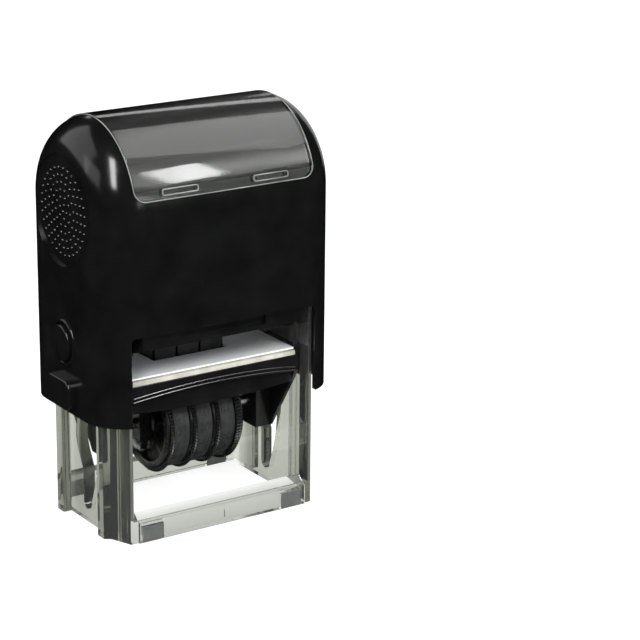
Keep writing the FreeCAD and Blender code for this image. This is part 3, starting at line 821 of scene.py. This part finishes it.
def with_steps(outline, longest):
    """The same outline with more points on its long sides, so that it can bend."""
    points = []
    for k, (x, y) in enumerate(outline):
        nxt = outline[(k + 1) % len(outline)]
        pieces = max(1, math.ceil(math.hypot(nxt[0] - x, nxt[1] - y) / longest))
        for step in range(pieces):
            points.append((x + (nxt[0] - x) * step / pieces, y + (nxt[1] - y) * step / pieces))
    return points


lips = bmesh.new()
longest_step = 1.0 * mm
window_outline = rounded_outline(window_half - lip_inset, window_reach - lip_inset,
                                 window_corner - lip_inset)
add_lip(lips, with_steps(window_outline[1:], longest_step), (0, 0), -lip_r)
slot_rim = rounded_outline(slot_half + lip_r, slot_high + lip_r, slot_high, 6)
slot_outline = with_steps(slot_rim[1:], longest_step)
for side in (-1, 1):
    for end in (-1, 1):
        add_lip(lips, slot_outline, (side * slot_from_middle, end * slot_at), 0.0)
# The pale grey of the lips is painted highlight, not the plastic's own colour.
lip_painted_glint = moulded("lip_painted_glint", (0.12, 0.125, 0.12), (0.26, 0.27, 0.26), (0.12, 0.2),
                   0.4 * mm, 0.001 * mm, drift=5 * mm)
keep("window_lips", lips, lip_painted_glint, "casing", sharp=180)

# %% [markdown]
# A low rounded collar stands round each lock button.  It is spun about the button's own axis, which
# runs along X, with the same tool as the wheels.

# %% Button collars
collar_r = 5.9 * mm
collar_tube = 0.6 * mm
collar_sides = 12

for side, side_name in ((-1, "left"), (1, "right")):
    button_low, button_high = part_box("lock_button_" + side_name)
    button_z = (button_low.z + button_high.z) / 2
    profile = []
    for step in range(collar_sides):
        angle = 2 * math.pi * step / collar_sides
        profile.append((side * (half_w - 0.2 * mm) + collar_tube * math.cos(angle) * 1.3,
                        collar_r + collar_tube * math.sin(angle)))
    collar = bmesh.new()
    turned(collar, profile, button_z, 72)
    keep("button_collar_" + side_name, collar, black_casing, "casing", sharp=180)

# %% [markdown]
# The rails of the head have two beads that follow their arched lower edge.  A thin round section is
# carried along the arch, front and back.

# %% Beads along the rails
head_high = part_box("head_frame")[1]
rail_low = 38.3 * mm
rail_arch = 1.4 * mm
bead_r = 0.3 * mm
bead_rises = (0.15 * mm, 1.2 * mm)
bead_steps = 48
bead_sides = 10


def add_bead(mesh_data, side, rise):
    """Round section carried along the arched edge, `rise` above it."""
    rings = []
    for step in range(bead_steps + 1):
        share = 2 * step / bead_steps - 1
        x = share * (head_high.x - 0.1 * mm)
        z = rail_low + rail_arch * (1 - share ** 2) + rise
        ring = []
        for k in range(bead_sides):
            angle = 2 * math.pi * k / bead_sides
            y = side * (head_high.y + 0.02 * mm) + bead_r * math.cos(angle)
            ring.append(mesh_data.verts.new((x, y, z + bead_r * math.sin(angle))))
        rings.append(ring)
    join_rings(mesh_data, rings, False)


for side, side_name in ((-1, "front"), (1, "back")):
    beads = bmesh.new()
    for rise in bead_rises:
        add_bead(beads, side, rise)
    keep("rail_bead_" + side_name, beads, polished_black, "head", sharp=60)

# %% [markdown]
# The clip that holds the axle in its arm is a bent strip of bright metal: a U whose two legs and
# bridge frame a dark square.  Three rounded blocks make it, and a fourth is the dark square.

# %% Axle clip
clip_low, clip_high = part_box("axle_clip")
clip_wire = 0.55 * mm
clip = bmesh.new()
block(clip, clip_low, (clip_high.x, clip_high.y, clip_low.z + clip_wire), 0.15 * mm)
block(clip, clip_low, (clip_low.x + clip_wire, clip_high.y, clip_high.z), 0.15 * mm)
block(clip, (clip_high.x - clip_wire, clip_low.y, clip_low.z), clip_high, 0.15 * mm)
keep("axle_clip_bent", clip, steel, "head", ["axle_clip"])
core = bmesh.new()
inner = Vector((clip_wire + 0.05 * mm, 0.35 * mm, clip_wire + 0.05 * mm))
block(core, clip_low + inner, (clip_high.x - inner.x, clip_high.y - inner.y, clip_high.z), 0.1 * mm)
keep("axle_clip_core", core, black_inner, "head")

# %% [markdown]
# A short upright mark in the middle of the front bar lines the stamp up on the paper.  It is a tiny
# moulded ridge.

# %% Centre mark
base_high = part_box("clear_base")[1]
mark_half = 0.13 * mm
mark_low = 2.2 * mm
mark_high = 4.3 * mm
mark_stand = 0.08 * mm
mark_paint = moulded("mark_grey", (0.05, 0.055, 0.05), (0.1, 0.1, 0.095), (0.3, 0.5),
                     0.3 * mm, 0.004 * mm)
for side, side_name in ((-1, "front"), (1, "back")):
    mark = bmesh.new()
    face_y = side * base_high.y
    ys = sorted((face_y, face_y + side * mark_stand))
    block(mark, (-mark_half, ys[0], mark_low), (mark_half, ys[1], mark_high), 0.03 * mm)
    keep("centre_mark_" + side_name, mark, mark_paint, "frame")

# %% [markdown]
# The studio: a pale floor that runs out of sight, and light from large soft panels.  Black plastic
# shows little of its own colour.  What the eye reads as its shape is the reflection of the panels,
# so their places matter more than their strength.  The floor and the sky are kept out of the
# reflections, which leaves the flat faces deep black.

# %% Floor and sky
floor_size = 6.0
floor_glow = 0.85
floor_data = bmesh.new()
bmesh.ops.create_grid(floor_data, x_segments=1, y_segments=1, size=floor_size)
floor_mesh = bpy.data.meshes.new("floor")
floor_data.to_mesh(floor_mesh)
floor_data.free()
floor = bpy.data.objects.new("floor", floor_mesh)
bpy.context.scene.collection.objects.link(floor)
floor_paint = bpy.data.materials.new("floor_paint")
floor_paint.use_nodes = True
floor_shader = floor_paint.node_tree.nodes["Principled BSDF"]
floor_shader.inputs["Base Color"].default_value = (0.25, 0.25, 0.25, 1)
floor_shader.inputs["Roughness"].default_value = 0.9
floor_shader.inputs["Emission Color"].default_value = (1, 1, 1, 1)
floor_shader.inputs["Emission Strength"].default_value = floor_glow
floor_mesh.materials.append(floor_paint)
floor.visible_glossy = False
sky = bpy.data.worlds.new("sky")
bpy.context.scene.world = sky
sky.use_nodes = True
sky.node_tree.nodes["Background"].inputs["Color"].default_value = (1.0, 1.0, 1.0, 1)
sky.node_tree.nodes["Background"].inputs["Strength"].default_value = 1.0
sky.cycles_visibility.glossy = False
print("floor half width m", floor_size, "glow", floor_glow)

# %% [markdown]
# Every panel has one job.  The overhead panel makes the grey band over the window, and the ridge panel
# the line above it.  The streak panel is small and close, so that its reflection ends before the
# window does.  The key panel draws the narrow streak on the corner of the dome.  The shoulder and stud
# panels light the left end, the front panel the beads on the rails, and the room and rim panels keep
# the remaining edges from sinking into black.

# %% Light panels
aim = Vector((0, 0, dome_z * 0.7))


def panel(name, direction, distance, size, strength):
    """Soft panel that faces the stamp from a direction.  The camera itself never sees it."""
    lamp = bpy.data.lights.new(name, "AREA")
    lamp.shape = "RECTANGLE"
    lamp.size, lamp.size_y = size
    lamp.energy = strength * size[0] * size[1] * math.pi
    holder = bpy.data.objects.new(name, lamp)
    bpy.context.scene.collection.objects.link(holder)
    holder.location = aim + Vector(direction).normalized() * distance
    holder.rotation_euler = (aim - holder.location).to_track_quat("-Z", "Y").to_euler()
    holder.visible_camera = False
    print("panel", name, "at", [round(value, 2) for value in holder.location])


panel("overhead_panel", (0.535, -0.1, 0.84), 0.9, (0.7, 0.56), 2.3)
panel("streak_panel", (0.36, -0.73, 0.575), 0.4, (0.07, 0.12), 16.0)
panel("key_panel", (-0.53, -0.52, 0.7), 0.9, (0.17, 0.6), 16.0)
panel("shoulder_panel", (-0.58, 0.55, 0.6), 0.9, (0.9, 0.7), 1.1)
panel("stud_panel", (-0.85, 0.1, 0.39), 0.9, (0.5, 0.3), 1.3)
panel("room_panel", (0.45, -0.62, 0.55), 1.3, (0.9, 0.7), 0.6)
panel("front_panel", (0.3, -0.93, 0.12), 0.9, (0.3, 0.14), 2.5)
panel("rim_panel", (0.77, 0.62, 0.12), 1.2, (0.6, 0.6), 0.8)
panel("ridge_panel", (0.535, 0.66, 0.53), 1.0, (0.8, 0.12), 2.2)

# %% [markdown]
# The camera looks from the front left, a little from above, with a long lens, so that upright edges
# stay nearly parallel.

# %% Camera
view_azimuth = math.radians(-34.25)
view_elevation = math.radians(17.78)
view_roll = math.radians(0.62)
view_distance = 0.6607
view_aim = Vector((39.5, -8.3, 48.05)) * mm
lens_mm = 133.2
back = Vector((math.sin(view_azimuth) * math.cos(view_elevation),
               -math.cos(view_azimuth) * math.cos(view_elevation), math.sin(view_elevation)))
right = Vector((math.cos(view_azimuth), math.sin(view_azimuth), 0))
up = back.cross(right)
turned_right = math.cos(view_roll) * right + math.sin(view_roll) * up
turned_up = -math.sin(view_roll) * right + math.cos(view_roll) * up
camera_data = bpy.data.cameras.new("camera")
camera_data.lens = lens_mm
camera_data.sensor_width = 36.0
camera_data.clip_start = 0.01
camera = bpy.data.objects.new("camera", camera_data)
bpy.context.scene.collection.objects.link(camera)
spin = Matrix((turned_right, turned_up, back)).transposed().to_4x4()
camera.matrix_world = Matrix.Translation(view_aim + back * view_distance) @ spin
bpy.context.scene.camera = camera
bpy.context.scene.view_settings.view_transform = "Standard"
print("camera at", [round(value, 4) for value in camera.matrix_world.translation])
